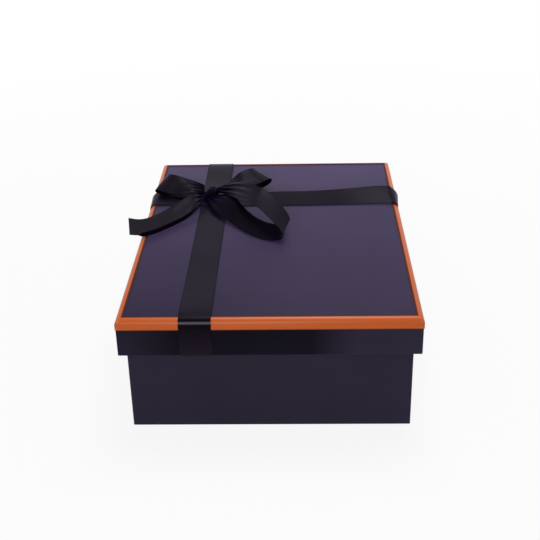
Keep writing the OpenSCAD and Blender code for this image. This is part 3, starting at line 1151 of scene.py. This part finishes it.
def build_bow():
    """Two loops and two tails, gathered at the knot."""
    for name, stations, pleats, phase, lip in (
        ("left_loop", LEFT_LOOP, 3.5, 0.6, 0.0),
        ("right_loop", RIGHT_LOOP, 3.0, 2.2, 0.0),
        ("left_tail", LEFT_TAIL, 3.5, 0.2, 0.2),
        ("right_tail", RIGHT_TAIL, 3.0, 1.2, 0.0),
    ):
        band, length = weave_band(name, bow_rows(stations, pleats, phase, lip))
        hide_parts(f"bow_{name}")


def build_knot():
    """The knot: the ribbon gathered into pleats and wrapped once round the bow's middle.

    squeeze is its width at an angle round the bow, as a share of the knot's box, and drift
    is how far the pleats have moved across it.
    """
    ribbon = bpy.context.scene.giftbox_ribbon
    lo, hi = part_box("bow_knot")
    middle = (lo + hi) / 2
    half = (hi - lo) / 2
    turn = Matrix.Rotation(math.radians(-14), 3, "Z")
    pleat_depth = 1.9 * MM
    crown = 9 * MM
    inset = 2.6 * MM
    sway = 1.4 * MM
    count = 96
    rows = []
    for i in range(count):
        angle = math.tau * i / count
        squeeze = 0.78 - 0.16 * math.sin(angle) + 0.06 * math.cos(2 * angle + 0.5)
        drift = 1.3 * math.sin(angle + 0.4) + 0.5 * math.sin(2 * angle)
        row = []
        for j in range(ribbon.strands + 1):
            q = j / ribbon.strands - 0.5
            pleat = abs(math.cos(math.pi * 4.5 * q + drift)) - 0.6
            painted_middle = 1.0 + 0.3 * math.sin(3 * q + 2 * angle)
            reach = pleat_depth * pleat * painted_middle + crown * (0.25 - q * q) - inset
            row.append(middle + turn @ Vector((
                2 * half.x * squeeze * q + sway * math.sin(angle),
                (half.y + reach) * math.cos(angle),
                (half.z + reach) * math.sin(angle),
            )))
        rows.append(row)
    band, length = weave_band("knot", rows, count // 4, closed=True)
    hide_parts("bow_knot")


# ---------------------------------------------------------------- stage


def seen_directly(tree):
    """1 for rays that show the background to the camera, also in gloss or through glass."""
    rays = tree.nodes.new("ShaderNodeLightPath")
    seen = math_node(tree, "MAXIMUM", rays.outputs["Is Camera Ray"], rays.outputs["Is Glossy Ray"])
    return math_node(tree, "MAXIMUM", seen, rays.outputs["Is Transmission Ray"])


def build_floor():
    """A pale floor, plain white away from the object and see-through from below."""
    stage = bpy.context.scene.giftbox_stage
    shaded_to, white_from = 0.3, 1.0
    start_clean()
    bpy.ops.mesh.primitive_plane_add(size=30, location=(0, 0, -0.05 * MM))
    floor = bpy.context.object
    floor.name = "floor"
    material, tree, shader, place = new_material("floor")
    settle(shader, Base_Color=rgba(stage.floor_color), Roughness=0.9, Specular_IOR_Level=0.0)
    white = put(tree, "ShaderNodeEmission", {"Color": (1, 1, 1, 1), "Strength": 1.0})
    away = vector_math(tree, "LENGTH", place)["Value"]
    plain = ranged(tree, away, shaded_to, white_from, 1 - stage.floor_shade, 1.0)
    share = math_node(tree, "MULTIPLY", seen_directly(tree), plain)
    above = put(tree, "ShaderNodeMixShader", {0: share, 1: shader.outputs[0], 2: white.outputs[0]})
    below = put(tree, "ShaderNodeNewGeometry").outputs["Backfacing"]
    clear = put(tree, "ShaderNodeBsdfTransparent")
    blend = put(tree, "ShaderNodeMixShader", {0: below, 1: above.outputs[0], 2: clear.outputs[0]})
    tree.links.new(blend.outputs[0], tree.nodes["Material Output"].inputs["Surface"])
    dress(floor, material)


def build_world():
    """Plain surroundings: white to the camera and in reflections, softer as light."""
    stage = bpy.context.scene.giftbox_stage
    world = bpy.data.worlds.new("surroundings")
    world.use_nodes = True
    tree = world.node_tree
    background = tree.nodes["Background"]
    strength = ranged(tree, seen_directly(tree), 0.0, 1.0, stage.sky, 1.0)
    tree.links.new(strength, background.inputs["Strength"])
    background.inputs["Color"].default_value = (1, 1, 1, 1)
    bpy.context.scene.world = world


def build_lamp(name, place, aim, size, power):
    """A square soft lamp."""
    data = bpy.data.lights.new(name, "AREA")
    data.size = size
    data.energy = power
    lamp = bpy.data.objects.new(name, data)
    lamp.location = place
    lamp.rotation_euler = (Vector(aim) - Vector(place)).to_track_quat("-Z", "Y").to_euler()
    bpy.context.scene.collection.objects.link(lamp)


def build_camera():
    """The camera."""
    stage = bpy.context.scene.giftbox_stage
    data = bpy.data.cameras.new("camera")
    data.lens = stage.lens
    camera = bpy.data.objects.new("camera", data)
    pitch, roll, yaw = stage.camera_turn
    camera.matrix_world = (
        Matrix.Translation(stage.camera_place)
        @ Matrix.Rotation(yaw, 4, "Z")
        @ Matrix.Rotation(math.pi / 2 - pitch, 4, "X")
        @ Matrix.Rotation(-roll, 4, "Z")
    )
    bpy.context.scene.collection.objects.link(camera)
    bpy.context.scene.camera = camera


# ---------------------------------------------------------------- operators


class GIFTBOX_OT_boards(bpy.types.Operator):
    """Finish the greyboards and their corner stays"""

    bl_idname = "giftbox.boards"
    bl_label = "Boards and stays"

    def execute(self, context):
        paper = context.scene.giftbox_paper
        board = fibrous_paper(
            "greyboard", paper.board_color, scale=700, flecks=0.5, roughness=0.9, contrast=0.35,
        )
        tape = fibrous_paper(
            "stay_tape", paper.tape_color, scale=500, flecks=0.2, roughness=0.75, contrast=0.2,
        )
        for node in ("base_board", "lid_board"):
            dress(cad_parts[node], board)
        for node in ("base_corner_stays", "lid_corner_stays"):
            dress(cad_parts[node], tape)
        return {"FINISHED"}


class GIFTBOX_OT_linings(bpy.types.Operator):
    """Finish the lining papers and the sheet under the base"""

    bl_idname = "giftbox.linings"
    bl_label = "Linings"

    def execute(self, context):
        paper = context.scene.giftbox_paper
        lining = fibrous_paper(
            "lining_paper", paper.lining_color, scale=1100, flecks=0.25, roughness=0.8, contrast=0.4,
        )
        for node in ("base_bottom_sheet", "base_wall_liner", "base_floor_liner", "lid_liner"):
            dress(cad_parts[node], lining)
        return {"FINISHED"}


class GIFTBOX_OT_covers(bpy.types.Operator):
    """Model the covering paper of the base and of the lid"""

    bl_idname = "giftbox.covers"
    bl_label = "Covers"

    def execute(self, context):
        build_base_cover()
        build_lid_cover()
        return {"FINISHED"}


class GIFTBOX_OT_trims(bpy.types.Operator):
    """Model the four strips of edge trim"""

    bl_idname = "giftbox.trims"
    bl_label = "Edge trims"

    def execute(self, context):
        for side, across in (
            ("front", Vector((0, -1, 0))),
            ("rear", Vector((0, 1, 0))),
            ("left", Vector((-1, 0, 0))),
            ("right", Vector((1, 0, 0))),
        ):
            build_trim(side, across)
        return {"FINISHED"}


class GIFTBOX_OT_straps(bpy.types.Operator):
    """Model the two ribbons that cross on the lid"""

    bl_idname = "giftbox.straps"
    bl_label = "Crossing ribbons"

    def execute(self, context):
        build_long_ribbon()
        build_cross_ribbon()
        return {"FINISHED"}


class GIFTBOX_OT_bow(bpy.types.Operator):
    """Model the knot, loops and tails of the bow"""

    bl_idname = "giftbox.bow"
    bl_label = "Bow"

    def execute(self, context):
        build_knot()
        build_bow()
        return {"FINISHED"}


class GIFTBOX_OT_stage(bpy.types.Operator):
    """Set up the floor, the light and the camera"""

    bl_idname = "giftbox.stage"
    bl_label = "Stage"

    def execute(self, context):
        stage = context.scene.giftbox_stage
        build_floor()
        build_world()
        build_lamp(
            "key", place=(0.15, 0.5, 1.45), aim=(0, 0, 0.1), size=0.8, power=stage.key_power,
        )
        build_lamp(
            "front", place=(-0.15, -1.2, 0.5), aim=(0, 0, 0.05), size=0.5, power=stage.front_power,
        )
        build_camera()
        context.scene.view_settings.view_transform = "Standard"
        return {"FINISHED"}


class GIFTBOX_PT_panel(bpy.types.Panel):
    """Lists the steps that build the gift box"""

    bl_idname = "GIFTBOX_PT_panel"
    bl_label = "Gift Box"
    bl_space_type = "VIEW_3D"
    bl_region_type = "UI"
    bl_category = "Gift Box"

    def draw(self, context):
        for settings in ("giftbox_paper", "giftbox_ribbon", "giftbox_stage"):
            group = getattr(context.scene, settings)
            box = self.layout.box()
            for name in group.bl_rna.properties.keys():
                if name not in ("rna_type", "name"):
                    box.prop(group, name)
        for operator in OPERATORS:
            self.layout.operator(operator.bl_idname)


SETTINGS = {
    "giftbox_paper": GIFTBOX_PG_paper,
    "giftbox_ribbon": GIFTBOX_PG_ribbon,
    "giftbox_stage": GIFTBOX_PG_stage,
}
OPERATORS = (
    GIFTBOX_OT_boards,
    GIFTBOX_OT_linings,
    GIFTBOX_OT_covers,
    GIFTBOX_OT_trims,
    GIFTBOX_OT_straps,
    GIFTBOX_OT_bow,
    GIFTBOX_OT_stage,
)


def register():
    """Registers the settings, operators and panel."""
    for name, group in SETTINGS.items():
        bpy.utils.register_class(group)
        setattr(bpy.types.Scene, name, PointerProperty(type=group))
    for kind in (*OPERATORS, GIFTBOX_PT_panel):
        bpy.utils.register_class(kind)


def unregister():
    """Removes what register added."""
    for kind in reversed((*OPERATORS, GIFTBOX_PT_panel)):
        bpy.utils.unregister_class(kind)
    for name, group in reversed(SETTINGS.items()):
        delattr(bpy.types.Scene, name)
        bpy.utils.unregister_class(group)


def main():
    """Builds everything in order."""
    register()
    bpy.ops.giftbox.boards()
    bpy.ops.giftbox.linings()
    bpy.ops.giftbox.covers()
    bpy.ops.giftbox.trims()
    bpy.ops.giftbox.straps()
    bpy.ops.giftbox.bow()
    bpy.ops.giftbox.stage()
    start_clean()


if __name__ == "__main__":
    main()
